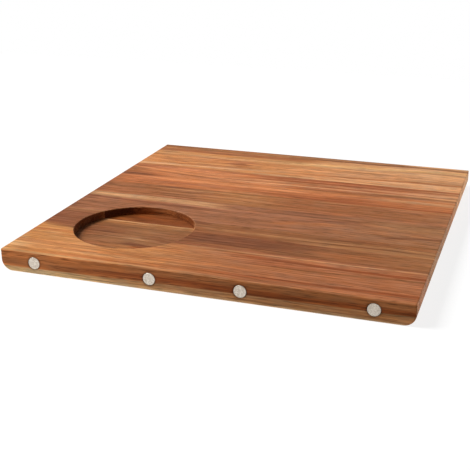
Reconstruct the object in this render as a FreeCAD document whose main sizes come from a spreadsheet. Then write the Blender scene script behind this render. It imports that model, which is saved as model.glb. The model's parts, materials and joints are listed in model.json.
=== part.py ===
import FreeCAD, Part
import math
import os
import Sketcher
from FreeCAD import Vector

# Edge-glued acacia board with a round blind recess and four disc magnets in its front face.
# Millimetres. X runs along the staves, from left to right, +Y from the front to the back, +Z up.
# The origin is at the middle of the underside.

DRIVING_SIZES = [
    ("board_width", 400.0, "length of every stave, along X"),
    ("board_thickness", 22.0, "height of every stave"),
    ("stave_1_width", 66.0, "front stave, along Y"),
    ("stave_2_width", 65.5, "second stave from the front"),
    ("stave_3_width", 62.5, "third stave"),
    ("stave_4_width", 41.0, "fourth stave"),
    ("stave_5_width", 35.0, "fifth stave"),
    ("stave_6_width", 41.5, "sixth stave"),
    ("stave_7_width", 51.5, "seventh stave"),
    ("stave_8_width", 45.0, "back stave"),
    ("side_round", 11.0, "radius under the left and right ends, for the fingers"),
    ("end_ease", 1.0, "radius along the upper left and right edges"),
    ("face_ease", 1.5, "radius around the front and back faces"),
    ("recess_diameter", 124.0, "round recess in the top"),
    ("recess_depth", 8.5, "from the top to the floor of the recess"),
    ("recess_from_left", 97.0, "left end to the axis of the recess"),
    ("recess_from_front", 97.2, "front face to the axis of the recess"),
    ("recess_rim_bevel", 0.4, "width and height of the bevel at the rim of the recess"),
    ("magnet_diameter", 12.0, "disc magnet"),
    ("magnet_length", 5.0, "disc magnet, and the depth of its bore"),
    ("magnet_edge_ease", 0.4, "radius at both rims of a magnet"),
    ("magnet_clearance", 0.45, "glue gap around a magnet, on the radius"),
    ("magnet_from_end", 36.0, "axis of an outer magnet to the nearer end of the board"),
    ("magnet_inner_gap", 88.0, "between the axes of the two inner magnets"),
]
STAVE_COUNT = 8
TOLERANCE = 1e-6

doc = FreeCAD.newDocument("board")
sheet = doc.addObject("Spreadsheet::Sheet", "sizes")
for row, (alias, value, meaning) in enumerate(DRIVING_SIZES, start=1):
    sheet.set(f"A{row}", meaning)
    sheet.set(f"B{row}", str(value))
    sheet.setAlias(f"B{row}", alias)
doc.recompute()


def size(alias):
    """A driving size, as a number."""
    return float(sheet.get(alias))


def value_of(expression):
    """What an expression of driving sizes comes to, as a number."""
    return float(sheet.evalExpression(expression))


def sum_of_widths(count):
    """The expression for the width of the first staves together."""
    widths = [f"sizes.stave_{number}_width" for number in range(1, count + 1)]
    return "(" + " + ".join(widths) + ")" if widths else "0"


FRONT_FACE = f"-{sum_of_widths(STAVE_COUNT)} / 2"
MID_HEIGHT = "sizes.board_thickness / 2"
OUTER_MAGNET = "(sizes.board_width / 2 - sizes.magnet_from_end)"
INNER_MAGNET = "(sizes.magnet_inner_gap / 2)"
MAGNET_PLACES = ["-" + OUTER_MAGNET, "-" + INNER_MAGNET, INNER_MAGNET, OUTER_MAGNET]


def new_body(label):
    body = doc.addObject("PartDesign::Body", label)
    body.Label = label
    return body


def origin_plane(body, role):
    return next(plane for plane in body.Origin.OriginFeatures if plane.Role == role)


def new_sketch(body, name, role):
    sketch = body.newObject("Sketcher::SketchObject", name)
    sketch.AttachmentSupport = [(origin_plane(body, role), "")]
    sketch.MapMode = "FlatFace"
    return sketch


def bind(sketch, name, constraint, expression):
    """Add a dimension to a sketch and tie it to the sheet."""
    index = sketch.addConstraint(constraint)
    sketch.renameConstraint(index, name)
    sketch.setExpression(f"Constraints.{name}", expression)


def draw_end_profile(sketch):
    """A stave seen from the front: a wide round under each end, a small ease above."""
    half = size("board_width") / 2
    top = size("board_thickness")
    low = size("side_round")
    high = size("end_ease")
    corners = [
        (Vector(half - low, low, 0), low, -90),
        (Vector(half - high, top - high, 0), high, 0),
        (Vector(high - half, top - high, 0), high, 90),
        (Vector(low - half, low, 0), low, 180),
    ]
    arcs = []
    for centre, radius, start in corners:
        circle = Part.Circle(centre, Vector(0, 0, 1), radius)
        arc = Part.ArcOfCircle(circle, math.radians(start), math.radians(start + 90))
        arcs.append(sketch.addGeometry(arc))
    lines = []
    for before, after in zip(arcs, arcs[1:] + arcs[:1]):
        run = Part.LineSegment(sketch.getPoint(before, 2), sketch.getPoint(after, 1))
        line = sketch.addGeometry(run)
        sketch.addConstraint(Sketcher.Constraint("Tangent", before, 2, line, 1))
        sketch.addConstraint(Sketcher.Constraint("Tangent", line, 2, after, 1))
        lines.append(line)
    right, upper, left, lower = lines
    low_right, high_right, high_left, low_left = arcs
    sketch.addConstraint(Sketcher.Constraint("Vertical", right))
    sketch.addConstraint(Sketcher.Constraint("Vertical", left))
    sketch.addConstraint(Sketcher.Constraint("Horizontal", upper))
    sketch.addConstraint(Sketcher.Constraint("Equal", low_right, low_left))
    sketch.addConstraint(Sketcher.Constraint("Equal", high_right, high_left))
    sketch.addConstraint(Sketcher.Constraint("Symmetric", lower, 1, lower, 2, -1, 1))
    radius = Sketcher.Constraint("Radius", low_right, low)
    bind(sketch, "low_radius", radius, "sizes.side_round")
    radius = Sketcher.Constraint("Radius", high_right, high)
    bind(sketch, "high_radius", radius, "sizes.end_ease")
    span = Sketcher.Constraint("DistanceX", left, 2, right, 1, 2 * half)
    bind(sketch, "span", span, "sizes.board_width")
    rise = Sketcher.Constraint("DistanceY", lower, 2, upper, 1, top)
    bind(sketch, "rise", rise, "sizes.board_thickness")


def draw_circle(sketch, name, diameter, across=None, along=None):
    """A circle tied to the sheet by expressions, at the sketch's origin or at a place in it."""
    middle = Vector(0, 0, 0)
    if across:
        middle = Vector(value_of(across), value_of(along), 0)
    circle = sketch.addGeometry(Part.Circle(middle, Vector(0, 0, 1), value_of(diameter) / 2))
    width = Sketcher.Constraint("Diameter", circle, value_of(diameter))
    bind(sketch, f"{name}_diameter", width, diameter)
    if not across:
        sketch.addConstraint(Sketcher.Constraint("Coincident", circle, 3, -1, 1))
        return
    place = Sketcher.Constraint("DistanceX", -1, 1, circle, 3, middle.x)
    bind(sketch, f"{name}_across", place, across)
    place = Sketcher.Constraint("DistanceY", -1, 1, circle, 3, middle.y)
    bind(sketch, f"{name}_along", place, along)


def round_edges(body, name, base, wanted, radius_expression):
    """Round the edges of the base feature for which wanted(edge) holds."""
    doc.recompute()
    names = [f"Edge{i}" for i, edge in enumerate(base.Shape.Edges, start=1) if wanted(edge)]
    fillet = body.newObject("PartDesign::Fillet", name)
    fillet.Base = (base, names)
    fillet.setExpression("Radius", radius_expression)
    return fillet


def lies_in_face(y):
    """Holds for an edge that lies in the plane across Y at this place."""
    return lambda edge: all(abs(v.Point.y - y) < TOLERANCE for v in edge.Vertexes)


def is_round(edge):
    return isinstance(edge.Curve, Part.Circle)


def cut_magnet_bores(body):
    """Four blind bores in the front face, at half the board's height."""
    sketch = new_sketch(body, "magnet_bores_sketch", "XZ_Plane")
    bore = "sizes.magnet_diameter + 2 * sizes.magnet_clearance"
    for number, place in enumerate(MAGNET_PLACES, start=1):
        draw_circle(sketch, f"bore_{number}", bore, place, MID_HEIGHT)
    pocket = body.newObject("PartDesign::Pocket", "magnet_bores")
    pocket.Profile = sketch
    pocket.setExpression("Length", "sizes.magnet_length")
    cuts.append(pocket)
    return pocket


def draw_recess_section(sketch):
    """Half of the recess cut through its axis: the floor, the wall, the bevelled rim and the mouth."""
    top = size("board_thickness")
    radius = size("recess_diameter") / 2
    bevel = size("recess_rim_bevel")
    floor_z = top - size("recess_depth")
    corners = [
        Vector(0, top, 0),
        Vector(0, floor_z, 0),
        Vector(radius, floor_z, 0),
        Vector(radius, top - bevel, 0),
        Vector(radius + bevel, top, 0),
    ]
    runs = zip(corners, corners[1:] + corners[:1])
    lines = [sketch.addGeometry(Part.LineSegment(begin, end)) for begin, end in runs]
    for before, after in zip(lines, lines[1:] + lines[:1]):
        sketch.addConstraint(Sketcher.Constraint("Coincident", before, 2, after, 1))
    axis, floor, wall, rim, mouth = lines
    sketch.addConstraint(Sketcher.Constraint("PointOnObject", axis, 1, -2))
    sketch.addConstraint(Sketcher.Constraint("PointOnObject", axis, 2, -2))
    sketch.addConstraint(Sketcher.Constraint("Horizontal", floor))
    sketch.addConstraint(Sketcher.Constraint("Vertical", wall))
    sketch.addConstraint(Sketcher.Constraint("Horizontal", mouth))
    height = Sketcher.Constraint("DistanceY", -1, 1, axis, 1, top)
    bind(sketch, "top", height, "sizes.board_thickness")
    depth = Sketcher.Constraint("DistanceY", axis, 2, axis, 1, top - floor_z)
    bind(sketch, "depth", depth, "sizes.recess_depth")
    span = Sketcher.Constraint("DistanceX", floor, 1, floor, 2, radius)
    bind(sketch, "radius", span, "sizes.recess_diameter / 2")
    rise = Sketcher.Constraint("DistanceY", rim, 1, rim, 2, bevel)
    bind(sketch, "bevel_rise", rise, "sizes.recess_rim_bevel")
    run = Sketcher.Constraint("DistanceX", rim, 1, rim, 2, bevel)
    bind(sketch, "bevel_run", run, "sizes.recess_rim_bevel")


def cut_recess(body, stave_front):
    """The stave's share of the round recess, turned about the axis of the whole recess."""
    sketch = new_sketch(body, f"{body.Label}_recess_section", "XZ_Plane")
    sketch.setExpression("AttachmentOffset.Base.x", "sizes.recess_from_left - sizes.board_width / 2")
    sketch.setExpression("AttachmentOffset.Base.z", f"{stave_front} - sizes.recess_from_front")
    draw_recess_section(sketch)
    groove = body.newObject("PartDesign::Groove", f"{body.Label}_recess")
    groove.Profile = sketch
    groove.ReferenceAxis = (sketch, ["V_Axis"])
    groove.Angle = 360
    cuts.append(groove)
    return groove


def make_stave(number):
    """One stave: its end profile run along Y, with its own share of the eases, bores and recess."""
    body = new_body(f"stave_{number}")
    width = f"sizes.stave_{number}_width"
    stave_front = sum_of_widths(number - 1)
    sketch = new_sketch(body, f"stave_{number}_profile", "XZ_Plane")
    draw_end_profile(sketch)
    feature = body.newObject("PartDesign::Pad", f"stave_{number}_pad")
    feature.Profile = sketch
    feature.Reversed = True
    feature.setExpression("Length", width)
    if number == 1:
        round_edges(body, "front_ease", feature, lies_in_face(0), "sizes.face_ease")
        feature = cut_magnet_bores(body)
    if number == STAVE_COUNT:
        back_face = lies_in_face(value_of(width))
        feature = round_edges(body, "back_ease", feature, back_face, "sizes.face_ease")
    past_axis = value_of(f"{stave_front} - sizes.recess_from_front")
    reach = size("recess_diameter") / 2 + size("recess_rim_bevel")
    if past_axis < reach and past_axis + value_of(width) > -reach:
        feature = cut_recess(body, stave_front)
    body.Tip = feature
    body.setExpression("Placement.Base.y", f"{FRONT_FACE} + {stave_front}")
    return body


def make_magnet(number, place):
    """A disc magnet, flush with the front face, seated on the flat end of its bore."""
    body = new_body(f"magnet_{number}")
    sketch = new_sketch(body, f"magnet_{number}_profile", "XZ_Plane")
    draw_circle(sketch, "disc", "sizes.magnet_diameter")
    pad = body.newObject("PartDesign::Pad", f"magnet_{number}_pad")
    pad.Profile = sketch
    pad.Reversed = True
    pad.setExpression("Length", "sizes.magnet_length")
    body.Tip = round_edges(body, f"magnet_{number}_rims", pad, is_round, "sizes.magnet_edge_ease")
    body.setExpression("Placement.Base.x", place)
    body.setExpression("Placement.Base.y", FRONT_FACE)
    body.setExpression("Placement.Base.z", MID_HEIGHT)
    return body


cuts = []
staves = [make_stave(number) for number in range(1, STAVE_COUNT + 1)]
magnets = [make_magnet(number, place) for number, place in enumerate(MAGNET_PLACES, start=1)]
sub_parts = staves + magnets
doc.recompute()

failed = [item.Label for item in doc.Objects if {"Invalid", "Error"} & set(item.State)]
for cut in cuts:
    if cut.Shape.Volume >= cut.BaseFeature.Shape.Volume:
        failed.append(cut.Label)
for body in sub_parts:
    shape = body.Shape
    if shape.isNull() or not shape.isValid() or len(shape.Solids) != 1:
        failed.append(body.Label)
if failed:
    raise RuntimeError("failed objects: " + ", ".join(failed))

os.makedirs("parts", exist_ok=True)
for body in sub_parts:
    body.Shape.exportStep(f"parts/{body.Label}.step")
    box = body.Shape.optimalBoundingBox()
    print(f"{body.Label}: {box.XLength:.2f} x {box.YLength:.2f} x {box.ZLength:.2f} mm,",
          f"{body.Shape.Volume / 1000:.3f} cm3")
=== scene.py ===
# %% [markdown]
# # An edge-glued acacia board with four magnets
# The board is eight staves of oiled acacia, glued edge to edge and planed flat, with a round recess
# turned into the front left and four nickel-plated magnets let into the front edge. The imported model
# gives every shape at its real size, so this lesson is about the looks: how one wood recipe, read in
# three dimensions, can dress eight staves that all differ.

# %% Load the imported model
import json
import math
from typing import NamedTuple

import bpy
from mathutils import Matrix, Vector


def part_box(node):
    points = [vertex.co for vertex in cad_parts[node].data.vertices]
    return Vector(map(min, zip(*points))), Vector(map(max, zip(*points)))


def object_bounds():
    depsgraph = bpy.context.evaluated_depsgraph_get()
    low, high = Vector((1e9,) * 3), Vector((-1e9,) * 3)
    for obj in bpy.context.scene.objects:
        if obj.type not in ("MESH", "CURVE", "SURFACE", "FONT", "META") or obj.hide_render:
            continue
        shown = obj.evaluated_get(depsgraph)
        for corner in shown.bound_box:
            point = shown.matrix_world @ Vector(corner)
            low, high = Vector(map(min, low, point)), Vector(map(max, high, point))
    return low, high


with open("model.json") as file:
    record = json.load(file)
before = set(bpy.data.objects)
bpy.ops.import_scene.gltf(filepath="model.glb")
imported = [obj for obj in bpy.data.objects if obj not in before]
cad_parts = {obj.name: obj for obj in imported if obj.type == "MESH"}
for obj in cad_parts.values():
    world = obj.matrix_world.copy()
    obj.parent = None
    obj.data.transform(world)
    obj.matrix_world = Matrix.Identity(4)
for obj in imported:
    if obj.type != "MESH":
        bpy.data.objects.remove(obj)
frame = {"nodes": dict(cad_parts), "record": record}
cad_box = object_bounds()
scene = bpy.context.scene
scene.view_settings.view_transform = "Standard"

MM = 0.001
LENGTH = (cad_box[1].x - cad_box[0].x) / MM
TOP = cad_box[1].z / MM
STAVES = sorted(name for name in frame["nodes"] if name.startswith("stave"))
MAGNETS = sorted(name for name in frame["nodes"] if name.startswith("magnet"))
print("staves", STAVES, "magnets", MAGNETS, "length", round(LENGTH, 2), "top", round(TOP, 2))

# %% [markdown]
# ## The camera
# A product photograph of a flat thing is taken from a little above, so that the top shows and the
# front edge still has height. The camera stands in front and to the right. Its place is written as an
# eye point and a target point, because that says more to a reader than three angles do, and a small
# roll is added at the end.

# %% Camera
EYE = Vector((286.8, -905.5, 343.3)) * MM
TARGET = Vector((1.9, -95.6, 21.0)) * MM
ROLL = math.radians(-0.38)
FOCAL_LENGTH = 70.23
SENSOR_WIDTH = 36.0

camera_data = bpy.data.cameras.new("camera")
camera_data.lens = FOCAL_LENGTH
camera_data.sensor_width = SENSOR_WIDTH
camera = bpy.data.objects.new("camera", camera_data)
aim = (TARGET - EYE).to_track_quat("-Z", "Y").to_matrix()
camera.matrix_world = Matrix.Translation(EYE) @ (aim @ Matrix.Rotation(ROLL, 3, "Z")).to_4x4()
scene.collection.objects.link(camera)
scene.camera = camera
print("camera is", round((TARGET - EYE).length, 3), "m from its target")

# %% [markdown]
# ## Two helpers
# Colours are picked as sRGB hex values, as on a screen, while shaders work in linear light, so one
# function turns the first into the second. The other function adds one node to a tree: its settings
# are the node's own properties, and its inputs are numbers or the outputs of other nodes to link.


# %% Helpers for colours and nodes
def linear(hex_colour):
    channels = [int(hex_colour[i:i + 2], 16) / 255 for i in (1, 3, 5)]
    return [c / 12.92 if c <= 0.04045 else ((c + 0.055) / 1.055) ** 2.4 for c in channels] + [1.0]


def add(tree, kind, inputs=None, **settings):
    node = tree.nodes.new(kind)
    for name, value in settings.items():
        setattr(node, name, value)
    for socket, value in (inputs or {}).items():
        if isinstance(value, bpy.types.NodeSocket):
            tree.links.new(value, node.inputs[socket])
        else:
            node.inputs[socket].default_value = value
    return node


# Sockets of a Mix node that is set to colours
FACTOR, FIRST, SECOND, MIXED = 0, 6, 7, 2
print("mid grey in linear light", [round(c, 3) for c in linear("#808080")])

# %% [markdown]
# ## Studio: which rays look
# The board lies on a plain white sweep of paper. A photograph would burn such a sweep out to white
# with more light, but that would burn out the wood as well. Light Path tells the rays apart instead:
# rays from the camera, from a gloss or through glass may see a whiter studio than the rays that light
# the board. Paper and sky both use this.


# %% Rays that look at the studio
def seen_directly(tree):
    rays = add(tree, "ShaderNodeLightPath").outputs
    camera_or_gloss = add(tree, "ShaderNodeMath", {0: rays["Is Camera Ray"], 1: rays["Is Glossy Ray"]},
                          operation="MAXIMUM")
    return add(tree, "ShaderNodeMath", {0: camera_or_gloss.outputs[0], 1: rays["Is Transmission Ray"]},
               operation="MAXIMUM").outputs[0]


print("rays from the camera, a gloss or glass see white")

# %% [markdown]
# ## Studio: the paper
# Matt paper has no gloss at all, so it is a plain diffuse white to the eye. Rays that look at it see
# paper that glows almost to white, so that only a faint shadow is left beside the board. All other
# rays see plain paper, which throws light back under the board's rounded ends. From below the paper
# can be seen through, so that the underside can be looked at too.

# %% Paper
FLOOR_WHITE = "#e6e4e1"
FLOOR_BOUNCE = 0.12
# Paper that the camera sees: its own glow, and the share that a shadow can take away
FLOOR_GLOW = 0.85
SHADOW_SHARE = 0.2

paper = bpy.data.materials.new("matt white paper sweep")
paper.use_nodes = True
tree = paper.node_tree
tree.nodes.clear()
matt = add(tree, "ShaderNodeBsdfDiffuse", {"Color": linear(FLOOR_WHITE)})
bounce = add(tree, "ShaderNodeEmission", {"Strength": FLOOR_BOUNCE})
plain = add(tree, "ShaderNodeAddShader", {0: matt.outputs[0], 1: bounce.outputs[0]})
glow = add(tree, "ShaderNodeEmission", {"Strength": FLOOR_GLOW})
shadowed = add(tree, "ShaderNodeBsdfDiffuse", {"Color": [SHADOW_SHARE] * 3 + [1.0]})
bright = add(tree, "ShaderNodeAddShader", {0: glow.outputs[0], 1: shadowed.outputs[0]})
both = add(tree, "ShaderNodeMixShader",
           {0: seen_directly(tree), 1: plain.outputs[0], 2: bright.outputs[0]})
from_below = add(tree, "ShaderNodeNewGeometry").outputs["Backfacing"]
shadow_ray = add(tree, "ShaderNodeLightPath").outputs["Is Shadow Ray"]
through = add(tree, "ShaderNodeMath", {0: from_below, 1: shadow_ray}, operation="MAXIMUM")
clear = add(tree, "ShaderNodeBsdfTransparent")
one_way = add(tree, "ShaderNodeMixShader",
              {0: through.outputs[0], 1: both.outputs[0], 2: clear.outputs[0]})
add(tree, "ShaderNodeOutputMaterial", {"Surface": one_way.outputs[0]})
print("paper has", len(tree.nodes), "nodes")

# %% Floor
FLOOR_SIDE = 1.8
# A little lower than the board, as two surfaces in one plane can't be told apart
FLOOR_DROP = 0.2 * MM

half = FLOOR_SIDE / 2
corners = [(x * half, y * half, -FLOOR_DROP) for x, y in ((-1, -1), (1, -1), (1, 1), (-1, 1))]
floor_mesh = bpy.data.meshes.new("floor")
floor_mesh.from_pydata(corners, [], [(0, 1, 2, 3)])
floor_mesh.materials.append(paper)
floor = bpy.data.objects.new("floor", floor_mesh)
scene.collection.objects.link(floor)
print("floor", FLOOR_SIDE, "m wide")

# %% [markdown]
# ## Studio: sky and lamps
# One large soft box hangs to the left, above and a little in front: the top is the brightest side, the
# front edge has about two thirds of its light, and the walls of the recess that face away from the box
# stay dark, which is what makes the recess look deep. The sky gives only a weak fill, so those walls
# aren't washed out. A low strip on the right puts some light on the right end, and it is so low that
# hardly any of it gets into the recess. A weak lamp under the paper lights only what faces down.

# %% Sky
SKY_FILL = 0.05
SKY_WHITE = 1.0

world = bpy.data.worlds.new("white studio")
world.use_nodes = True
scene.world = world
tree = world.node_tree
tree.nodes.clear()
strength = add(tree, "ShaderNodeMapRange",
               {"Value": seen_directly(tree), "To Min": SKY_FILL, "To Max": SKY_WHITE})
white = add(tree, "ShaderNodeBackground", {"Color": linear("#ffffff"), "Strength": strength.outputs[0]})
add(tree, "ShaderNodeOutputWorld", {"Surface": white.outputs[0]})
print("sky fill", SKY_FILL)

# %% Lamps
BOX_PLACE = Vector((-2.39, -0.73, 2.59))
BOX_SIDE = 1.6
BOX_POWER = 176.0
STRIP_PLACE = Vector((1.85, 0.85, 0.03))
STRIP_LENGTH = 0.8
STRIP_HEIGHT = 0.04
STRIP_POWER = 16.0
UNDER_PLACE = Vector((0, 0, -1.6))
UNDER_SIDE = 1.2
UNDER_POWER = 14.0


def area_lamp(name, place, width, height, power):
    data = bpy.data.lights.new(name, "AREA")
    data.shape = "RECTANGLE"
    data.size = width
    data.size_y = height
    data.energy = power
    lamp = bpy.data.objects.new(name, data)
    lamp.location = place
    lamp.rotation_euler = (-place).to_track_quat("-Z", "Y").to_euler()
    scene.collection.objects.link(lamp)
    print(name, width, "by", height, "m,", round(place.length, 2), "m away,", power, "W")


area_lamp("soft_box", BOX_PLACE, BOX_SIDE, BOX_SIDE, BOX_POWER)
area_lamp("low_strip", STRIP_PLACE, STRIP_LENGTH, STRIP_HEIGHT, STRIP_POWER)
area_lamp("under_lamp", UNDER_PLACE, UNDER_SIDE, UNDER_SIDE, UNDER_POWER)

# %% [markdown]
# ## Acacia, read in three dimensions
# Acacia is a streaky wood: honey and amber with red-brown and walnut bands, all drawn out along the
# trunk. A picture wrapped round a board would break at its edges, so the grain here is a solid
# pattern. It is worked out for every point from its place in the stave, in millimetres, so a streak
# that runs along the top comes out on the end and goes on down the wall of the recess. A slow wave
# bends all of it together, as a trunk is never quite straight.

# %% Grain group
grain = bpy.data.node_groups.new("acacia grain", "ShaderNodeTree")
for name, kind in (("Seed", "NodeSocketFloat"), ("Pith", "NodeSocketVector"),
                   ("Ring width", "NodeSocketFloat")):
    grain.interface.new_socket(name, in_out="INPUT", socket_type=kind)
for name in ("Along", "Across", "Below", "Broad", "Fine", "Fibre", "Pore", "Mottle", "Ring"):
    grain.interface.new_socket(name, in_out="OUTPUT", socket_type="NodeSocketFloat")
print("grain group has sockets", [item.name for item in grain.interface.items_tree])

# %% Places in a stave
# All in millimetres from the lower left corner at the front of the board
CORNER = cad_box[0] / MM
WANDER = 2.5
WANDER_SIZE = (170, 60, 60)
WANDER_DETAIL = 1.0
NOISE_ROUGHNESS = 0.55
# Noise runs from 0 to 1, but seldom leaves this range
NOISE_LOW, NOISE_MIDDLE, NOISE_HIGH = 0.2, 0.5, 0.8

grain_given = add(grain, "NodeGroupInput").outputs
place = add(grain, "ShaderNodeTexCoord")
in_mm = add(grain, "ShaderNodeVectorMath", {0: place.outputs["Object"], "Scale": 1 / MM},
            operation="SCALE")
local = add(grain, "ShaderNodeVectorMath", {0: in_mm.outputs[0], 1: CORNER}, operation="SUBTRACT")
xyz = add(grain, "ShaderNodeSeparateXYZ", {0: local.outputs[0]}).outputs
wave_place = add(grain, "ShaderNodeVectorMath",
                 {0: local.outputs[0], 1: [1 / s for s in WANDER_SIZE]}, operation="MULTIPLY")
wave = add(grain, "ShaderNodeTexNoise",
           {"Vector": wave_place.outputs[0], "W": grain_given["Seed"], "Scale": 1.0,
            "Detail": WANDER_DETAIL, "Roughness": NOISE_ROUGHNESS}, noise_dimensions="4D")
shift = add(grain, "ShaderNodeMapRange",
            {"Value": wave.outputs["Fac"], "From Min": NOISE_LOW, "From Max": NOISE_HIGH,
             "To Min": -WANDER, "To Max": WANDER})
across = add(grain, "ShaderNodeMath", {0: xyz["Y"], 1: shift.outputs[0]}, operation="SUBTRACT")
below = add(grain, "ShaderNodeMath", {0: TOP, 1: xyz["Z"]}, operation="SUBTRACT")
bent = add(grain, "ShaderNodeCombineXYZ", {"X": xyz["X"], "Y": across.outputs[0], "Z": xyz["Z"]})
print("the grain wanders by", WANDER, "mm to each side")

# %% [markdown]
# ## Bands, fibres and pores
# Noise that is stretched along the stave gives the broad bands, the fine bands, the fibres and the
# pores, and a rounder noise gives the patches where oil takes unevenly. Only the sizes differ, so one
# loop makes them all.

# %% Stretched noise
# For each pattern, its size in millimetres along, across and through the stave, and its finer octaves.
# Real fibres are a hundredth of a millimetre wide and real pores a fifth: both are drawn as coarse as
# they need to be to show at about one pixel to the millimetre.
PATTERNS = {
    "Broad": ((240, 10, 12), 3.0),
    "Fine": ((90, 2.2, 2.6), 2.0),
    "Fibre": ((45, 0.9, 0.9), 1.0),
    "Pore": ((13, 0.7, 0.7), 0.0),
    "Mottle": ((20, 9, 9), 3.0),
}
# Only the peaks of the smallest noise are pores
PORE_EDGES = (0.60, 0.72)

fields = {}
for name, (size, detail) in PATTERNS.items():
    scaled = add(grain, "ShaderNodeVectorMath", {0: bent.outputs[0], 1: [1 / s for s in size]},
                 operation="MULTIPLY")
    noise = add(grain, "ShaderNodeTexNoise",
                {"Vector": scaled.outputs[0], "W": grain_given["Seed"], "Scale": 1.0,
                 "Detail": detail, "Roughness": NOISE_ROUGHNESS}, noise_dimensions="4D")
    fields[name] = noise.outputs["Fac"]
fields["Pore"] = add(grain, "ShaderNodeMapRange",
                     {"Value": fields["Pore"], "From Min": PORE_EDGES[0],
                      "From Max": PORE_EDGES[1]}).outputs[0]
print("patterns", list(fields))

# %% [markdown]
# ## Growth rings
# A tree adds a ring each year, pale at first and dark at its edge. Rings are tubes round the pith, so
# their distance from it is all that is needed. On the top they are stretched out into soft bands, and
# on the two ends they show as arcs.

# %% Rings round the pith
RING_UNEVENNESS = 9.0
RING_SHARPNESS = 3.0

from_pith = add(grain, "ShaderNodeVectorMath", {0: bent.outputs[0], 1: grain_given["Pith"]},
                operation="SUBTRACT")
cross_section = add(grain, "ShaderNodeVectorMath", {0: from_pith.outputs[0], 1: (0, 1, 1)},
                    operation="MULTIPLY")
radius = add(grain, "ShaderNodeVectorMath", {0: cross_section.outputs[0]}, operation="LENGTH")
uneven = add(grain, "ShaderNodeMath",
             {0: fields["Broad"], 1: RING_UNEVENNESS, 2: radius.outputs["Value"]},
             operation="MULTIPLY_ADD")
count = add(grain, "ShaderNodeMath", {0: uneven.outputs[0], 1: grain_given["Ring width"]},
            operation="DIVIDE")
year = add(grain, "ShaderNodeMath", {0: count.outputs[0]}, operation="FRACT")
ring = add(grain, "ShaderNodeMath", {0: year.outputs[0], 1: RING_SHARPNESS}, operation="POWER")
add(grain, "NodeGroupOutput", {"Along": xyz["X"], "Across": across.outputs[0],
                               "Below": below.outputs[0], "Ring": ring.outputs[0], **fields})
print("grain group has", len(grain.nodes), "nodes")

# %% [markdown]
# ## One streak
# What tells one acacia stave from the next is its streaks: pale sapwood, red heart, a purple-brown
# band. A second group says how strongly one streak covers a point. First comes the line that the
# streak follows: it has a place at each end of the stave, a bow between them, and a lean that carries
# it sideways as it goes down into the wood.

# %% Line of a streak
streak = bpy.data.node_groups.new("acacia streak", "ShaderNodeTree")
for name in ("Along", "Across", "Below", "Fine", "Broad", "Left", "Right", "Bow", "Width", "Soft",
             "Fray", "Start", "End", "Fade", "Lean", "Amount"):
    streak.interface.new_socket(name, in_out="INPUT", socket_type="NodeSocketFloat")
streak.interface.new_socket("Cover", in_out="OUTPUT", socket_type="NodeSocketFloat")

streak_given = add(streak, "NodeGroupInput").outputs
line = add(streak, "ShaderNodeMapRange",
           {"Value": streak_given["Along"], "From Max": LENGTH, "To Min": streak_given["Left"],
            "To Max": streak_given["Right"]}, clamp=False)
from_middle = add(streak, "ShaderNodeMapRange",
                  {"Value": streak_given["Along"], "From Max": LENGTH, "To Min": -1.0,
                   "To Max": 1.0}, clamp=False)
squared = add(streak, "ShaderNodeMath", {0: from_middle.outputs[0], 1: 2.0}, operation="POWER")
arch = add(streak, "ShaderNodeMath", {0: 1.0, 1: squared.outputs[0]}, operation="SUBTRACT")
bowed = add(streak, "ShaderNodeMath",
            {0: arch.outputs[0], 1: streak_given["Bow"], 2: line.outputs[0]},
            operation="MULTIPLY_ADD")
leaning = add(streak, "ShaderNodeMath",
              {0: streak_given["Below"], 1: streak_given["Lean"], 2: bowed.outputs[0]},
              operation="MULTIPLY_ADD")
off = add(streak, "ShaderNodeMath", {0: streak_given["Across"], 1: leaning.outputs[0]},
          operation="SUBTRACT")
distance = add(streak, "ShaderNodeMath", {0: off.outputs[0]}, operation="ABSOLUTE")
print("a streak's line has", len(streak.nodes), "nodes")

# %% [markdown]
# ## Frayed sides and ends
# A streak covers the points that lie within half its width of that line. Its sides are frayed by the
# fine grain, and its ends fade out unevenly by the broad grain, so that it looks grown and not painted.

# %% Sides of a streak
# Half a width from its line is where a streak is half gone
HALF = 0.5

in_widths = add(streak, "ShaderNodeMath", {0: distance.outputs[0], 1: streak_given["Width"]},
                operation="DIVIDE")
tooth = add(streak, "ShaderNodeMath", {0: streak_given["Fine"], 1: NOISE_MIDDLE},
            operation="SUBTRACT")
frayed = add(streak, "ShaderNodeMath",
             {0: tooth.outputs[0], 1: streak_given["Fray"], 2: in_widths.outputs[0]},
             operation="MULTIPLY_ADD")
inner = add(streak, "ShaderNodeMath", {0: streak_given["Soft"], 1: -HALF, 2: HALF},
            operation="MULTIPLY_ADD")
outer = add(streak, "ShaderNodeMath", {0: streak_given["Soft"], 1: HALF, 2: HALF},
            operation="MULTIPLY_ADD")
side = add(streak, "ShaderNodeMapRange",
           {"Value": frayed.outputs[0], "From Min": inner.outputs[0], "From Max": outer.outputs[0],
            "To Min": 1.0, "To Max": 0.0}, interpolation_type="SMOOTHSTEP")
print("sides are half gone at", HALF, "of the width")

# %% Ends of a streak
# How far, in millimetres, the broad grain carries the ends to and fro
END_FRAY = 90.0

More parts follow.
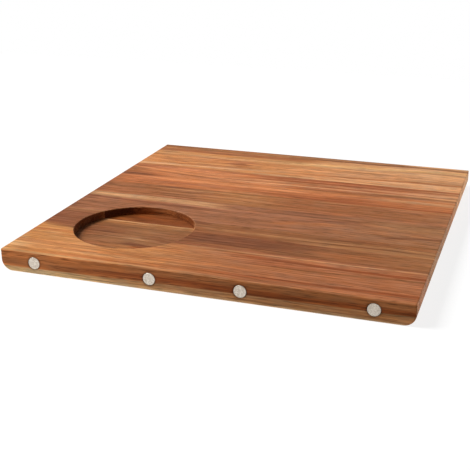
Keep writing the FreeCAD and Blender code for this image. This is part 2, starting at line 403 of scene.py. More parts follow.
ragged = add(streak, "ShaderNodeMath",
             {0: streak_given["Broad"], 1: END_FRAY, 2: streak_given["Along"]},
             operation="MULTIPLY_ADD")
centred = add(streak, "ShaderNodeMath", {0: ragged.outputs[0], 1: END_FRAY * NOISE_MIDDLE},
              operation="SUBTRACT")
start_full = add(streak, "ShaderNodeMath", {0: streak_given["Start"], 1: streak_given["Fade"]})
end_full = add(streak, "ShaderNodeMath", {0: streak_given["End"], 1: streak_given["Fade"]},
               operation="SUBTRACT")
rise = add(streak, "ShaderNodeMapRange",
           {"Value": centred.outputs[0], "From Min": streak_given["Start"],
            "From Max": start_full.outputs[0]}, interpolation_type="SMOOTHSTEP")
fall = add(streak, "ShaderNodeMapRange",
           {"Value": centred.outputs[0], "From Min": end_full.outputs[0],
            "From Max": streak_given["End"], "To Min": 1.0, "To Max": 0.0},
           interpolation_type="SMOOTHSTEP")
stretch = add(streak, "ShaderNodeMath", {0: rise.outputs[0], 1: fall.outputs[0]},
              operation="MULTIPLY")
cover = add(streak, "ShaderNodeMath", {0: side.outputs[0], 1: stretch.outputs[0]},
            operation="MULTIPLY")
amount = add(streak, "ShaderNodeMath", {0: cover.outputs[0], 1: streak_given["Amount"]},
             operation="MULTIPLY")
add(streak, "NodeGroupOutput", {"Cover": amount.outputs[0]})
print("streak group has", len(streak.nodes), "nodes")

# %% [markdown]
# ## Finish: fibres and pores under oil
# Oil makes wood darker and richer and leaves it nearly matt. Fibres and pores then show as hairlines
# and short dark dashes. A third group puts this finish on any colour that it is given, so that the
# eight staves share it. It starts with one shade that fine bands, fibres and pores make together.

# %% Shade of the fine grain
FINE_CONTRAST = 0.33
FIBRE_CONTRAST = 0.5
PORE_DARKNESS = 0.46

finish = bpy.data.node_groups.new("oiled finish", "ShaderNodeTree")
for name, kind in (("Colour", "NodeSocketColor"), ("Fine", "NodeSocketFloat"),
                   ("Fibre", "NodeSocketFloat"), ("Pore", "NodeSocketFloat"),
                   ("Mottle", "NodeSocketFloat")):
    finish.interface.new_socket(name, in_out="INPUT", socket_type=kind)
for name, kind in (("Colour", "NodeSocketColor"), ("Roughness", "NodeSocketFloat"),
                   ("Normal", "NodeSocketVector")):
    finish.interface.new_socket(name, in_out="OUTPUT", socket_type=kind)

finish_given = add(finish, "NodeGroupInput").outputs
fine_shade = add(finish, "ShaderNodeMapRange",
                 {"Value": finish_given["Fine"], "From Min": NOISE_LOW, "From Max": NOISE_HIGH,
                  "To Min": 1 - FINE_CONTRAST, "To Max": 1 + FINE_CONTRAST}, clamp=False)
fibre_shade = add(finish, "ShaderNodeMapRange",
                  {"Value": finish_given["Fibre"], "From Min": NOISE_LOW, "From Max": NOISE_HIGH,
                   "To Min": 1 - FIBRE_CONTRAST, "To Max": 1 + FIBRE_CONTRAST}, clamp=False)
pore_shade = add(finish, "ShaderNodeMapRange",
                 {"Value": finish_given["Pore"], "To Min": 1.0, "To Max": 1 - PORE_DARKNESS})
two_shades = add(finish, "ShaderNodeMath", {0: fine_shade.outputs[0], 1: fibre_shade.outputs[0]},
                 operation="MULTIPLY")
shade = add(finish, "ShaderNodeMath", {0: two_shades.outputs[0], 1: pore_shade.outputs[0]},
            operation="MULTIPLY")
print("pores are", round(1 - PORE_DARKNESS, 2), "as light as the wood round them")

# %% [markdown]
# ## Finish: dry ends and a painted reflection
# Wood that is cut across drinks its oil, so the two ends of the board look drier and are rougher. They
# are also mixed towards a paler tone, which is partly the end grain's own and partly a painted
# reflection of the bright studio. The way a face points tells an end from the rest, but the wall of
# the recess points sideways too. So the ends are also asked how near they are to the outside.

# %% Dry ends and painted reflection
# Paler tone of the two ends: end grain, and a painted reflection
END_GRAIN_AND_REFLECTION_TONE = "#d4b394"
END_GRAIN_AND_REFLECTION_SHARE = 0.2
END_DEPTH = 12 * MM
# How squarely a face points along the stave before it counts as cut across
END_FACING = (0.7, 0.95)

facing = add(finish, "ShaderNodeSeparateXYZ",
             {0: add(finish, "ShaderNodeNewGeometry").outputs["Normal"]}).outputs
endwise = add(finish, "ShaderNodeMath", {0: facing["X"]}, operation="ABSOLUTE")
square_cut = add(finish, "ShaderNodeMapRange",
                 {"Value": endwise.outputs[0], "From Min": END_FACING[0], "From Max": END_FACING[1]},
                 interpolation_type="SMOOTHSTEP")
spot = add(finish, "ShaderNodeSeparateXYZ",
           {0: add(finish, "ShaderNodeTexCoord").outputs["Object"]})
from_centre = add(finish, "ShaderNodeMath", {0: spot.outputs["X"]}, operation="ABSOLUTE")
outside = add(finish, "ShaderNodeMath",
              {0: from_centre.outputs[0], 1: LENGTH * MM / 2 - END_DEPTH}, operation="GREATER_THAN")
cut_across = add(finish, "ShaderNodeMath", {0: square_cut.outputs[0], 1: outside.outputs[0]},
                 operation="MULTIPLY")
end_and_reflection_cover = add(finish, "ShaderNodeMath", {0: cut_across.outputs[0], 1: END_GRAIN_AND_REFLECTION_SHARE},
                operation="MULTIPLY")
dried_and_reflecting = add(finish, "ShaderNodeMix",
            {FACTOR: end_and_reflection_cover.outputs[0], FIRST: finish_given["Colour"], SECOND: linear(END_GRAIN_AND_REFLECTION_TONE)},
            data_type="RGBA")
print("dry ends are", round(END_DEPTH / MM), "mm deep")

# %% [markdown]
# ## Finish: worn and highlit edges, and patchy oil
# The eased upper edges, which hands and knives rub, are paler: partly wear and partly a painted
# highlight where they catch the light. They are the faces that point neither straight up nor
# sideways. Oil also takes unevenly, so patches of the wood are warmer or cooler than the rest.

# %% Worn and highlit edges, and patches
# Paler tone of the eased edges: wear, and a painted highlight
WEAR_AND_HIGHLIGHT_TONE = "#d39c6a"
WEAR_AND_HIGHLIGHT_SHARE = 0.2
# How much a face points up where wear and painted highlight begin above the sides, and where
# they end below the top
WEAR_AND_HIGHLIGHT_FROM = (0.15, 0.45)
WEAR_AND_HIGHLIGHT_TO = (0.85, 0.98)
# What a patch does to red, green and blue
COOL_PATCH = (0.88, 1.0, 1.2, 1.0)
WARM_PATCH = (1.12, 1.0, 0.8, 1.0)

above_side = add(finish, "ShaderNodeMapRange",
                 {"Value": facing["Z"], "From Min": WEAR_AND_HIGHLIGHT_FROM[0], "From Max": WEAR_AND_HIGHLIGHT_FROM[1]},
                 interpolation_type="SMOOTHSTEP")
below_top = add(finish, "ShaderNodeMapRange",
                {"Value": facing["Z"], "From Min": WEAR_AND_HIGHLIGHT_TO[0], "From Max": WEAR_AND_HIGHLIGHT_TO[1],
                 "To Min": WEAR_AND_HIGHLIGHT_SHARE, "To Max": 0.0}, interpolation_type="SMOOTHSTEP")
rubbed_and_lit = add(finish, "ShaderNodeMath", {0: above_side.outputs[0], 1: below_top.outputs[0]},
             operation="MULTIPLY")
worn_and_highlit = add(finish, "ShaderNodeMix",
           {FACTOR: rubbed_and_lit.outputs[0], FIRST: dried_and_reflecting.outputs[MIXED], SECOND: linear(WEAR_AND_HIGHLIGHT_TONE)},
           data_type="RGBA")
warmth = add(finish, "ShaderNodeMapRange",
             {"Value": finish_given["Mottle"], "From Min": NOISE_LOW, "From Max": NOISE_HIGH})
patch = add(finish, "ShaderNodeMix",
            {FACTOR: warmth.outputs[0], FIRST: COOL_PATCH, SECOND: WARM_PATCH}, data_type="RGBA")
patchy = add(finish, "ShaderNodeMix",
             {FACTOR: 1.0, FIRST: worn_and_highlit.outputs[MIXED], SECOND: patch.outputs[MIXED]},
             data_type="RGBA", blend_type="MULTIPLY")
print("wear mixes in", WEAR_AND_HIGHLIGHT_SHARE, "of", WEAR_AND_HIGHLIGHT_TONE)

# %% [markdown]
# ## Finish: roughness and relief
# Each fibre and pore is also a small dent that holds less oil, so the same shade goes into the bump
# and the roughness: what is dark is rougher and lies deeper. Dry ends are rougher still.

# %% Roughness and relief
# Shade of the darkest and the lightest grain, the roughness of both, and how much rougher dry ends are
SHADE_RANGE = (0.6, 1.3)
ROUGHNESS_RANGE = (0.72, 0.52)
END_DRYNESS = 0.1
RELIEF = 0.06 * MM
RELIEF_STRENGTH = 0.6

shaded = add(finish, "ShaderNodeMix",
             {FACTOR: 1.0, FIRST: patchy.outputs[MIXED], SECOND: shade.outputs[0]},
             data_type="RGBA", blend_type="MULTIPLY")
rough = add(finish, "ShaderNodeMapRange",
            {"Value": shade.outputs[0], "From Min": SHADE_RANGE[0], "From Max": SHADE_RANGE[1],
             "To Min": ROUGHNESS_RANGE[0], "To Max": ROUGHNESS_RANGE[1]})
rough_end = add(finish, "ShaderNodeMath",
                {0: cut_across.outputs[0], 1: END_DRYNESS, 2: rough.outputs[0]},
                operation="MULTIPLY_ADD")
dents = add(finish, "ShaderNodeBump",
            {"Height": shade.outputs[0], "Distance": RELIEF, "Strength": RELIEF_STRENGTH})
add(finish, "NodeGroupOutput",
    {"Colour": shaded.outputs[MIXED], "Roughness": rough_end.outputs[0],
     "Normal": dents.outputs[0]})
print("finish group has", len(finish.nodes), "nodes")

# %% [markdown]
# ## Tones
# A real acacia board is sorted by nothing but width, so honey, walnut and red staves lie side by side.
# The tones are named once, as a wood merchant would, and each stave then has a base of three tones,
# from light to dark, and a list of its own streaks.

# %% Tones of oiled acacia
TONES = {
    "sapwood": "#dfa970",
    "flax": "#caad7f",
    "blush": "#e0a676",
    "straw": "#cb9566",
    "pale honey": "#d3905a",
    "peach": "#d68a57",
    "honey": "#c08148",
    "copper": "#c27a45",
    "tan": "#b27b4d",
    "ember": "#b36739",
    "amber": "#b16a39",
    "rose": "#a6653f",
    "taupe": "#a06c50",
    "hazel": "#9a683f",
    "russet": "#985b32",
    "walnut": "#88532c",
    "red heart": "#8c451c",
    "bark": "#7d4526",
    "umber": "#6e3a1c",
    "mahogany": "#73380f",
    # Near black, for painted shade on the back wall of the recess
    "painted wall shade": "#43200e",
}
print(len(TONES), "tones")

# %% [markdown]
# ## What a streak is made of
# Over a hundred streaks are easier to read as one line each, so a streak is a named tuple: a tone, the
# amount of it, and sizes. Left and right are its place in millimetres behind the front edge at the two
# ends of the board, and bow is how far it bends between them. Start and end are where it shows along
# the board, and fade is how slowly it comes and goes. Lean carries it sideways for each millimetre
# down, and soft and fray, from 0 to 1, are for its sides. A level streak is a layer: its place is in
# millimetres below the top, and it shows on the edge of the board or in the recess.


# %% Streak
class Streak(NamedTuple):
    tone: str
    amount: float
    left: float
    right: float
    width: float
    # From off the left end of the board to off its right end, so that the streak runs through
    start: float = -300
    end: float = 700
    fade: float = 60
    bow: float = 0
    lean: float = 0
    level: bool = False
    soft: float = 0.5
    fray: float = 0.9


print("a streak has", Streak._fields)

# %% [markdown]
# ## Streaks on the floor of the recess
# The floor of the recess cuts through wood that the top doesn't show, so it has streaks of its own.
# Some of them are painted shade and painted light beside its walls.
# They could be cut off at a depth, but wood isn't layered so sharply. They lean strongly instead, and so
# leave the stave above and below the floor. Their places are given on the floor, whose depth is worked
# out from the imported record's mount for the recess.

# %% Streak on the floor
FLOOR_LEAN = -8.0

recess = next(mount for mount in frame["record"]["mounts"] if mount["name"] == "recess")
recess_middle = recess["pos_m"][2] / MM
FLOOR_DEPTH = TOP - (recess_middle - recess["dims"]["length_mm"] / 2)


def on_floor(tone, amount, left, right, width, start, end, fade=15, lean=FLOOR_LEAN):
    back = lean * FLOOR_DEPTH
    return Streak(tone, amount, left - back, right - back, width, start, end, fade, lean=lean)


print("the floor is", round(FLOOR_DEPTH, 3), "mm below the top")

# %% [markdown]
# ## The front stave
# The front stave is honey at the left and turns red-brown towards the right. It was sawn flat from
# the log, so its layers lie level and come out on the front edge, with a dark one through the middle
# and a pale one along the foot. A layer whose tone changes along the board is written again, further
# on, in the next tone.

# %% Stave 1
# For each stave, the three tones of its base and its streaks
FIGURE = {}
FIGURE["stave_1"] = (("pale honey", "honey", "amber"), [
    Streak("rose", 0.95, 36, 36, 140, 60, 900, 200),
    Streak("pale honey", 0.5, 26, 44, 22, -300, 150, 90),
    Streak("honey", 0.5, 44, 44, 24, -300, 60, 40),
    Streak("amber", 0.7, 16, 34, 5, 20, 260, 50),
    Streak("amber", 0.7, 4, 11, 9, 20, 260, 70),
    Streak("pale honey", 0.5, 13, 20, 4, -300, 190, 60),
    Streak("russet", 0.6, 62, 62, 5, 120, 260, 40),
    Streak("russet", 0.6, 27, 38, 11, 170, 330, 60),
    Streak("red heart", 0.9, 66.5, 51, 6, 190, 700, 60),
    Streak("mahogany", 0.6, 66.5, 51, 5, 225, 330, 40),
    Streak("red heart", 0.5, 48, 48, 16, 215, 320, 40),
    Streak("walnut", 0.75, 24, 46, 4, 230, 700, 50),
    Streak("red heart", 0.85, 7, 13.5, 6, 120, 700, 150),
    Streak("straw", 0.4, 65, 65, 3, 140, 700, 60),
    Streak("sapwood", 0.6, 16, 20, 34, -300, 26, 24),
    # Painted highlight along the eased front upper edge, on its left part
    Streak("sapwood", 0.6, 0.4, 0.4, 3.6, -300, 190, 130),
    Streak("straw", 0.35, 0.4, 0.4, 3.6, 60, 280, 90),
    Streak("amber", 1.0, 11.7, 10.9, 21, level=True, lean=1.0, soft=0.08, fray=0.08),
    Streak("russet", 0.8, 11.7, 10.9, 21, 40, 900, 160, level=True, lean=1.0, soft=0.08, fray=0.08),
    Streak("walnut", 0.9, 11.7, 10.9, 21, 150, 900, 170, level=True, lean=1.0, soft=0.08, fray=0.08),
    Streak("russet", 0.9, 12.7, 9.2, 5, level=True, lean=1.0, soft=0.8),
    Streak("red heart", 0.9, 12.7, 9.2, 5, 50, 900, 80, level=True, lean=1.0, soft=0.8),
    Streak("mahogany", 0.95, 12.2, 9.2, 5.5, 160, 900, 130, level=True, lean=1.0, soft=0.8),
    Streak("flax", 0.75, 21.7, 17.5, 9.5, level=True, lean=0.5, soft=0.25, fray=0.3),
    Streak("tan", 0.9, 21.7, 17.5, 9.5, 60, 900, 120, level=True, lean=0.5, soft=0.25, fray=0.3),
    Streak("hazel", 0.9, 21.7, 17.5, 9.5, 170, 900, 150, level=True, lean=0.5, soft=0.25, fray=0.3),
    Streak("flax", 0.4, 22, 22, 5, -300, 900, 160, level=True, lean=1.0, soft=0.6, fray=0.3),
    on_floor("walnut", 0.7, 61, 61, 16, 20, 200, 40, lean=-3.5),
    # Painted shade on the floor beside the left wall of the recess
    on_floor("bark", 0.7, 61, 61, 16, -300, 110, 60, lean=-3.5),
    on_floor("red heart", 0.8, 64, 60, 8, 95, 150, 20, lean=-3.5),
])
print("stave_1 has", len(FIGURE["stave_1"][1]), "streaks")

# %% [markdown]
# ## The stave under the recess
# Most of the recess is turned into the second stave, a dark one with tan and rose lines near its
# sides. A pale layer along its back dips below the top and comes out only in the recess. The recess
# also carries painted shade and painted light by its left and back walls.

# %% Stave 2
FIGURE["stave_2"] = (("russet", "walnut", "bark"), [
    Streak("bark", 0.75, 105, 105, 60, -300, 55, 25),
    Streak("umber", 0.8, 86, 90, 28, 60, 330, 100),
    Streak("umber", 0.65, 97, 101, 6, 185, 330, 50),
    Streak("mahogany", 0.35, 99, 100, 6, 215, 300, 30),
    Streak("russet", 0.6, 72, 80, 22, 240, 700, 90),
    Streak("rose", 0.7, 67.5, 67.5, 5, 140, 420, 60),
    Streak("tan", 0.75, 115, 115.5, 5, 140, 700, 50),
    Streak("walnut", 0.5, 110, 110, 3.5, 140, 700, 60),
    Streak("tan", 0.7, 103, 105.5, 7, 235, 700, 80),
    Streak("tan", 0.3, 98, 98, 60, 330, 900, 80),
    Streak("umber", 0.5, 100, 100, 56, -300, 16, 12),
    Streak("honey", 0.95, 67, -24, 26, -300, 95, 40),
    Streak("hazel", 0.4, 13, 13, 13, 20, 250, 90, level=True),
    # Painted shade: these two level bands darken the floor at the left of the recess, and the lower part
    # of the left end
    Streak("bark", 0.75, 11, 11, 11, -300, 120, 80, level=True),
    Streak("umber", 0.6, 11, 11, 11, -300, 85, 45, level=True),
    Streak("bark", 0.4, 4.2, 4.2, 8, 135, 230, 15, level=True, soft=0.3, fray=0.1),
    # Painted light: a paler foot of the recess wall at the back left, and the floor beside it
    Streak("tan", 0.35, 135, 135, 9, lean=-1.2),
    Streak("straw", 0.9, 133.7, 133.7, 4.5, lean=-0.42),
    Streak("sapwood", 0.35, 133.7, 133.7, 6, 120, 175, 25, lean=-0.42),
    on_floor("hazel", 0.4, 98, 98, 80, 0, 200),
    on_floor("umber", 0.6, 97, 91, 4, 0, 100, 25),
    on_floor("straw", 0.4, 88, 72, 5, 80, 170, 20),
    on_floor("umber", 0.8, 81, 34, 9, 95, 170),
    on_floor("umber", 0.6, 84, 84, 10, 115, 200),
    # Painted light and painted shade on the floor by the left wall of the recess: the straw lightens the
    # cast shadow right at the wall, the umber and bark darken the floor towards the wall
    on_floor("straw", 0.25, 95, 95, 60, -60, 48, 20),
    on_floor("umber", 0.35, 96, 96, 40, -60, 62, 20),
    on_floor("bark", 0.3, 100, 100, 26, -60, 100, 30),
    on_floor("bark", 0.4, 98, 98, 30, 100, 220, 20),
])
print("stave_2 has", len(FIGURE["stave_2"][1]), "streaks")

# %% [markdown]
# ## The two walnut staves
# The third and fourth staves are brown with umber and tan streaks. The third holds the back wall of
# the recess, where its layers come out as level bands, and where the near-black bands are painted shade.

# %% Stave 3
FIGURE["stave_3"] = (("rose", "russet", "walnut"), [
    Streak("taupe", 0.35, 163, 163, 120),
    Streak("hazel", 0.45, 160, 160, 120, 230, 900, 150),
    Streak("umber", 0.5, 160, 160, 120, -300, 16, 12),
    Streak("bark", 0.75, 179, 185, 6, -300, 200, 80, bow=-12.5),
    Streak("straw", 0.9, 188.5, 182, 13.5, -25, 180, 40, soft=0.35),
    Streak("umber", 0.5, 186, 188, 13, 205, 320, 60),
    Streak("umber", 0.5, 95.5, 203.5, 8, 215, 355, 50),
    Streak("amber", 0.55, 111, 183, 9, 210, 310, 40),
    Streak("tan", 0.45, 174, 174, 18, 300, 700, 60),
    Streak("umber", 0.65, 68, 154, 5, 325, 700, 40),
    Streak("mahogany", 0.75, 9.5, 9.5, 17, -300, 330, 120, level=True, soft=0.15, fray=0.1),
    Streak("mahogany", 0.8, 9.5, 9.5, 17, -300, 130, 70, level=True, soft=0.15, fray=0.1),
    Streak("amber", 0.75, 4.5, 4.5, 7.5, 78, 130, 25, level=True, soft=0.12, fray=0.1),
    Streak("umber", 0.7, 2.2, 2.2, 2.6, 125, 200, 20, level=True, soft=0.1, fray=0.1),
    # Painted shade on the back wall of the recess, near black on its left part
    Streak("painted wall shade", 0.7, 4, 4, 6.5, -300, 95, 30, level=True, soft=0.3, fray=0.1),
    Streak("mahogany", 0.45, 5.2, 5.2, 6.4, 125, 230, 20, level=True, soft=0.3, fray=0.1),
    # Painted shade in the corner where the back wall meets the floor, on its right part
    Streak("painted wall shade", 0.35, 7.2, 7.2, 2.2, 105, 230, 20, level=True, soft=0.3, fray=0.1),
    on_floor("mahogany", 0.6, 140, 140, 18, -60, 140, 30),
    on_floor("amber", 0.3, 137, 137, 7, 45, 80),
    on_floor("red heart", 0.5, 148, 148, 9, 70, 120),
])
print("stave_3 has", len(FIGURE["stave_3"][1]), "streaks")

# %% Stave 4
FIGURE["stave_4"] = (("rose", "russet", "walnut"), [
    Streak("umber", 0.35, 215, 215, 80, -300, 16, 12),
    Streak("walnut", 0.7, 218.5, 221, 5, -300, 240, 80),
    Streak("bark", 0.7, 231, 231, 5, 70, 125, 20),
    Streak("walnut", 0.7, 232, 232, 4, 140, 260, 40),
    Streak("tan", 0.7, 225, 226, 4, 50, 230, 60),
    Streak("tan", 0.5, 212.5, 212.5, 3.5, 30, 210, 60),
    Streak("walnut", 0.5, 206, 206, 5, 60, 150, 40),
    Streak("tan", 0.5, 233, 233, 4, 230, 700, 60),
    Streak("straw", 0.3, 215, 215, 60, 300, 900, 200),
    Streak("honey", 0.3, 215, 215, 60, 120, 240, 50),
])
print("stave_4 has", len(FIGURE["stave_4"][1]), "streaks")

# %% [markdown]
# ## The two red staves
# The fifth and sixth staves have copper and ember tones with red heart. Streaks that slant from the
# front of a stave to its back show that the trunk grew crooked, and they are the ones whose places at
# the two ends differ most.

# %% Stave 5
FIGURE["stave_5"] = (("copper", "ember", "rose"), [
    Streak("ember", 0.35, 252, 252, 70),
    Streak("ember", 0.7, 247, 247, 24, -300, 110, 70),
    Streak("peach", 0.75, 261, 261, 10, 10, 330, 80),
    Streak("straw", 0.7, 262, 262, 9, 290, 700, 60),
    Streak("rose", 0.7, 248, 249, 6, 30, 190, 50),
    Streak("red heart", 0.85, 243, 239, 10, 190, 330, 50),
    Streak("red heart", 0.7, 238.5, 238.5, 4, 280, 700, 50),
    Streak("straw", 0.5, 238, 238, 4, 120, 210, 40),
    Streak("russet", 0.7, 252, 252, 30, -300, 28, 30),
    Streak("umber", 0.8, 270, 270, 7, -300, 60, 30),
    Streak("red heart", 0.5, 252, 252, 12, 235, 330, 40),
    Streak("peach", 0.4, 253, 253, 14, 320, 700, 60),
    Streak("ember", 0.5, 255, 255, 30, 215, 285, 30),
])
print("stave_5 has", len(FIGURE["stave_5"][1]), "streaks")

# %% Stave 6
FIGURE["stave_6"] = (("copper", "ember", "rose"), [
    Streak("peach", 0.45, 290, 290, 60, 30, 240, 60),
    Streak("rose", 0.6, 296, 296, 26, 180, 360, 80),
    Streak("russet", 0.8, 285, 285, 30, -300, 35, 35),
    Streak("walnut", 0.75, 262, 278, 7, 180, 700, 70),
    Streak("bark", 0.45, 262, 278, 7, 310, 700, 50),
    Streak("umber", 0.85, 271, 271, 7, -300, 60, 40),
    Streak("russet", 0.7, 294, 240, 5, 20, 180, 50),
    Streak("peach", 0.9, 301, 262, 5, -20, 230, 50, bow=-6),
    Streak("blush", 0.6, 281, 281.5, 4, 120, 700, 70),
    Streak("blush", 0.4, 291, 291, 5, 120, 700, 70),
    Streak("red heart", 0.7, 298, 298, 5, 120, 380, 70),
    Streak("red heart", 0.75, 306, 306, 8, 110, 380, 70),
    Streak("blush", 0.65, 290, 290, 40, 310, 900, 120),
    Streak("red heart", 0.6, 308, 308, 5, 310, 700, 50),
    Streak("red heart", 0.5, 299, 299, 4, 310, 700, 50),
    Streak("walnut", 0.65, 274, 278, 7, 300, 700, 60),
])
print("stave_6 has", len(FIGURE["stave_6"][1]), "streaks")

# %% [markdown]
# ## The two pale staves
# The last two staves are the palest and turn to blush and sapwood at the right. The back one carries
# a band of red heart on its left half and a walnut line along its back edge.

# %% Stave 7
FIGURE["stave_7"] = (("pale honey", "honey", "amber"), [
    Streak("straw", 0.6, 340, 340, 80, 150, 900, 160),
    Streak("blush", 0.6, 350, 350, 60, 150, 900, 200),
    Streak("peach", 0.35, 337, 337, 60),
    Streak("blush", 0.6, 337, 337, 60, 310, 900, 60),
    Streak("amber", 0.6, 312, 312, 6, -300, 150, 50),
    Streak("blush", 0.85, 317.5, 337, 7, -300, 230, 80, bow=2),
    Streak("blush", 0.8, 314, 314.5, 5, 130, 700, 60),
    Streak("blush", 0.8, 322, 331, 8, 230, 700, 70),
    Streak("amber", 0.8, 320, 339, 6, 170, 700, 60),
    Streak("rose", 0.4, 330, 330, 6, 40, 180, 40),
    Streak("rose", 0.7, 366, 340, 5, -20, 140, 30),
    Streak("rose", 0.65, 352, 352, 18, 112, 150, 14),
    Streak("red heart", 0.4, 344, 344, 14, 118, 152, 14),
    Streak("russet", 0.7, 340, 340, 9, 15, 65, 20),
    Streak("hazel", 0.3, 346, 346, 10, 260, 700, 70),
])
print("stave_7 has", len(FIGURE["stave_7"][1]), "streaks")

# %% Stave 8
FIGURE["stave_8"] = (("straw", "honey", "amber"), [
    Streak("blush", 0.8, 385, 385, 60, 200, 900, 160),
    Streak("straw", 0.3, 378, 378, 14, -300, 90, 50),
    Streak("blush", 0.4, 385, 385, 60, 200, 310, 40),
    Streak("red heart", 0.7, 386, 391, 16, -300, 250, 70),
    Streak("straw", 0.5, 367, 368, 8, -300, 200, 80),
    Streak("sapwood", 0.85, 352, 387, 9, 140, 700, 80),
    Streak("sapwood", 0.7, 352, 387, 7, 205, 345, 40),
    Streak("hazel", 0.4, 341.5, 379, 4.5, 225, 700, 50),
    Streak("walnut", 0.75, 397.5, 397, 7),
    Streak("umber", 0.6, 397, 397.5, 6, 195, 350, 40),
    Streak("walnut", 0.8, 406, 406, 8, -300, 350, 50),
    Streak("sapwood", 0.6, 406, 406, 8, 330, 900, 40),
])
print("stave_8 has", len(FIGURE["stave_8"][1]), "streaks")

# %% [markdown]
# ## Streaks over a base
# Streaks are laid over the base of a stave one after another, like washes of stain, so a later one
# covers an earlier one. A level streak is the same group with across and below exchanged.

# %% Laying the streaks
STREAK_SIZES = [field for field in Streak._fields if field not in ("tone", "level")]


def lay_streaks(tree, field, colour, streaks):
    for one in streaks:
        cover = add(tree, "ShaderNodeGroup", node_tree=streak)
        for output in ("Along", "Fine", "Broad"):
            tree.links.new(field.outputs[output], cover.inputs[output])
        tree.links.new(field.outputs["Below" if one.level else "Across"], cover.inputs["Across"])
        tree.links.new(field.outputs["Across" if one.level else "Below"], cover.inputs["Below"])
        for size in STREAK_SIZES:
            cover.inputs[size.capitalize()].default_value = getattr(one, size)
        tone = linear(TONES[one.tone])
        colour = add(tree, "ShaderNodeMix", {FACTOR: cover.outputs[0], FIRST: colour, SECOND: tone},
                     data_type="RGBA").outputs[MIXED]
    return colour


print("a streak is set by", STREAK_SIZES)

# %% [markdown]
# ## Rings of painted shade
# A faint dark ring of painted shade is drawn on the wood round each magnet. Four rings could be drawn
# one by one, but the magnets lie in two like pairs, so the distance along the board is folded instead:
# at the middle of the board, at the middle of a pair and at a magnet. After three folds one ring is
# enough.

# %% Painted shade round the magnets
# Tone, strength and width of the painted shade ring round each magnet
RING_SHADE_TONE = "#2c1608"
RING_SHADE_AMOUNT = 0.3
RING_SHADE_WIDTH = 2.8
# Between a magnet and the wood there is a thin line of glue, in which the ring may start
RING_SHADE_START = 0.3

boxes = [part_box(name) for name in MAGNETS]
middles = sorted((low.x + high.x) / 2 / MM for low, high in boxes)
pair_middle = (middles[2] + middles[3]) / 2
pair_half = (middles[3] - middles[2]) / 2
disc_low, disc_high = boxes[0]
disc_radius = (disc_high.x - disc_low.x) / 2 / MM
disc_height = (disc_low.z + disc_high.z) / 2 / MM
ring_shade_inside = disc_radius + RING_SHADE_START


def painted_shade_rings(tree, colour):
    place = add(tree, "ShaderNodeTexCoord")
    in_mm = add(tree, "ShaderNodeVectorMath", {0: place.outputs["Object"], "Scale": 1 / MM},
                operation="SCALE")
    xyz = add(tree, "ShaderNodeSeparateXYZ", {0: in_mm.outputs[0]}).outputs
    x = xyz["X"]
    for fold in (0.0, pair_middle, pair_half):
        moved = add(tree, "ShaderNodeMath", {0: x, 1: fold}, operation="SUBTRACT")
        x = add(tree, "ShaderNodeMath", {0: moved.outputs[0]}, operation="ABSOLUTE").outputs[0]
    z = add(tree, "ShaderNodeMath", {0: xyz["Z"], 1: disc_height}, operation="SUBTRACT")
    flat = add(tree, "ShaderNodeCombineXYZ", {"X": x, "Y": z.outputs[0]})
    radius = add(tree, "ShaderNodeVectorMath", {0: flat.outputs[0]}, operation="LENGTH")
    ring_shade = add(tree, "ShaderNodeMapRange",
                 {"Value": radius.outputs["Value"], "From Min": ring_shade_inside,
                  "From Max": ring_shade_inside + RING_SHADE_WIDTH, "To Min": RING_SHADE_AMOUNT, "To Max": 0.0},
                 interpolation_type="SMOOTHSTEP")
    return add(tree, "ShaderNodeMix",
               {FACTOR: ring_shade.outputs[0], FIRST: colour, SECOND: linear(RING_SHADE_TONE)},
               data_type="RGBA").outputs[MIXED]


print("magnets at", [round(x, 1) for x in middles], "mm, radius", round(disc_radius, 2), "mm")

# %% [markdown]
# ## One material for each stave
# Each stave gets its own material, named for the wood and its finish. The grain group is given a seed
# and a pith of its own, so no two staves repeat. The broad noise and the rings pick a tone from the
# base, the streaks are laid over it, the front stave gets its rings of painted shade round the magnets,
# and the shared finish comes last.

# %% Base of a stave
SEED_STEP = 3.7
# The pith is under the board, nearer the front of the stave than its back
PITH_SHARE = 0.4
PITH_HEIGHT = -30
RING_WIDTH = 7.0
RING_SHARE = 0.25
RAMP_STOPS = (0.36, 0.55, 0.78)


def grown_wood(tree, stave, tones):
    low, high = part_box(stave)
    pith = low.lerp(high, PITH_SHARE) / MM
    field = add(tree, "ShaderNodeGroup", node_tree=grain)
    field.inputs["Seed"].default_value = SEED_STEP * (STAVES.index(stave) + 1)
    field.inputs["Pith"].default_value = (0, pith.y - CORNER.y, PITH_HEIGHT)
    field.inputs["Ring width"].default_value = RING_WIDTH
    level = add(tree, "ShaderNodeMath",
                {0: field.outputs["Ring"], 1: RING_SHARE, 2: field.outputs["Broad"]},
                operation="MULTIPLY_ADD")
    ramp = add(tree, "ShaderNodeValToRGB", {"Fac": level.outputs[0]})
    stops = ramp.color_ramp.elements
    stops.new(RAMP_STOPS[1])
    for stop, position, tone in zip(stops, RAMP_STOPS, tones):
        stop.position = position
        stop.color = linear(TONES[tone])
    return field, ramp.outputs[0]


print("rings are", RING_WIDTH, "mm wide")

# %% Oiled acacia
# Planed wood under a thin coat of oil is warm and nearly matt, and mirrors less than a varnished one
OILED_GLOSS = 0.12


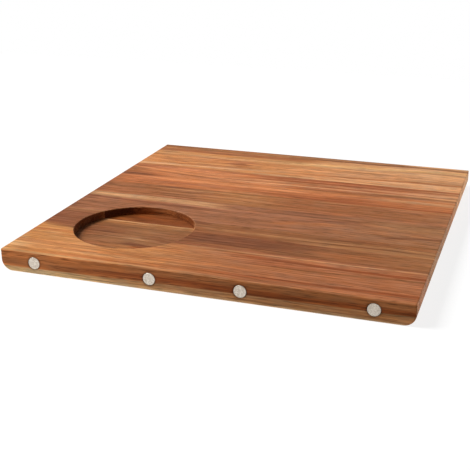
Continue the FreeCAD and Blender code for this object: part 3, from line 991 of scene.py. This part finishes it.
def oiled_acacia(stave, tones, streaks):
    wood = bpy.data.materials.new(f"oiled acacia, planed, stave {STAVES.index(stave) + 1}")
    wood.use_nodes = True
    tree = wood.node_tree
    tree.nodes.clear()
    field, base = grown_wood(tree, stave, tones)
    colour = lay_streaks(tree, field, base, streaks)
    if stave == STAVES[0]:
        colour = painted_shade_rings(tree, colour)
    done = add(tree, "ShaderNodeGroup", {"Colour": colour}, node_tree=finish)
    for name in ("Fine", "Fibre", "Pore", "Mottle"):
        tree.links.new(field.outputs[name], done.inputs[name])
    shader = add(tree, "ShaderNodeBsdfPrincipled",
                 {"Base Color": done.outputs["Colour"], "Roughness": done.outputs["Roughness"],
                  "Normal": done.outputs["Normal"], "Specular IOR Level": OILED_GLOSS})
    add(tree, "ShaderNodeOutputMaterial", {"Surface": shader.outputs[0]})
    return wood


for name in STAVES:
    node = frame["nodes"][name]
    node.data.materials.clear()
    node.data.materials.append(oiled_acacia(name, *FIGURE[name]))
    print(name, "has", node.active_material.name)

# %% [markdown]
# ## Nickel on the magnets
# Small disc magnets are plated with nickel in a tumbling barrel, where thousands of them rub against
# each other. The plate comes out bright but covered in fine scratches and dents, so it mirrors nothing
# and looks pale and mottled. Noise at the size of those dents goes into colour, roughness and bump.

# %% Tumbled nickel
NICKEL_LIGHT = "#dcd2c4"
NICKEL_DULL = "#b9ab9c"
# Tumbling marks are a few hundredths of a millimetre wide, drawn at a millimetre so that they show
DENT_SIZE = 1.1 * MM
DENT_DETAIL = 2.0
DENT_DEPTH = 0.05 * MM
DENT_STRENGTH = 0.4
DULL_EDGES = (0.35, 0.65)
NICKEL_ROUGHNESS = (0.3, 0.5)


def tumbled_nickel(number, falloff_shade):
    plating = bpy.data.materials.new(f"nickel plating, tumbled, magnet {number}")
    plating.use_nodes = True
    tree = plating.node_tree
    tree.nodes.clear()
    # Both tones are darkened by the magnet's painted falloff of light
    light, dark = ([c * falloff_shade for c in linear(tone)[:3]] + [1.0]
                   for tone in (NICKEL_LIGHT, NICKEL_DULL))
    place = add(tree, "ShaderNodeTexCoord")
    dents = add(tree, "ShaderNodeTexNoise",
                {"Vector": place.outputs["Object"], "Scale": 1 / DENT_SIZE, "Detail": DENT_DETAIL})
    dull = add(tree, "ShaderNodeMapRange",
               {"Value": dents.outputs["Fac"], "From Min": DULL_EDGES[0], "From Max": DULL_EDGES[1]})
    tint = add(tree, "ShaderNodeMix", {FACTOR: dull.outputs[0], FIRST: light, SECOND: dark},
               data_type="RGBA")
    rough = add(tree, "ShaderNodeMapRange",
                {"Value": dents.outputs["Fac"], "To Min": NICKEL_ROUGHNESS[0],
                 "To Max": NICKEL_ROUGHNESS[1]})
    bump = add(tree, "ShaderNodeBump", {"Height": dents.outputs["Fac"], "Distance": DENT_DEPTH,
                                        "Strength": DENT_STRENGTH})
    shader = add(tree, "ShaderNodeBsdfPrincipled",
                 {"Base Color": tint.outputs[MIXED], "Metallic": 1.0, "Roughness": rough.outputs[0],
                  "Normal": bump.outputs[0]})
    add(tree, "ShaderNodeOutputMaterial", {"Surface": shader.outputs[0]})
    return plating


print("dents are", DENT_SIZE / MM, "mm wide")

# %% Magnets
# Painted shade: each magnet's plating is darker than the one to its left, a painted falloff of light
PAINTED_FALLOFF = (1.0, 0.97, 0.89, 0.8)

for number, (name, falloff_shade) in enumerate(zip(MAGNETS, PAINTED_FALLOFF), start=1):
    node = frame["nodes"][name]
    node.data.materials.clear()
    node.data.materials.append(tumbled_nickel(number, falloff_shade))
    print(name, "has", node.active_material.name)
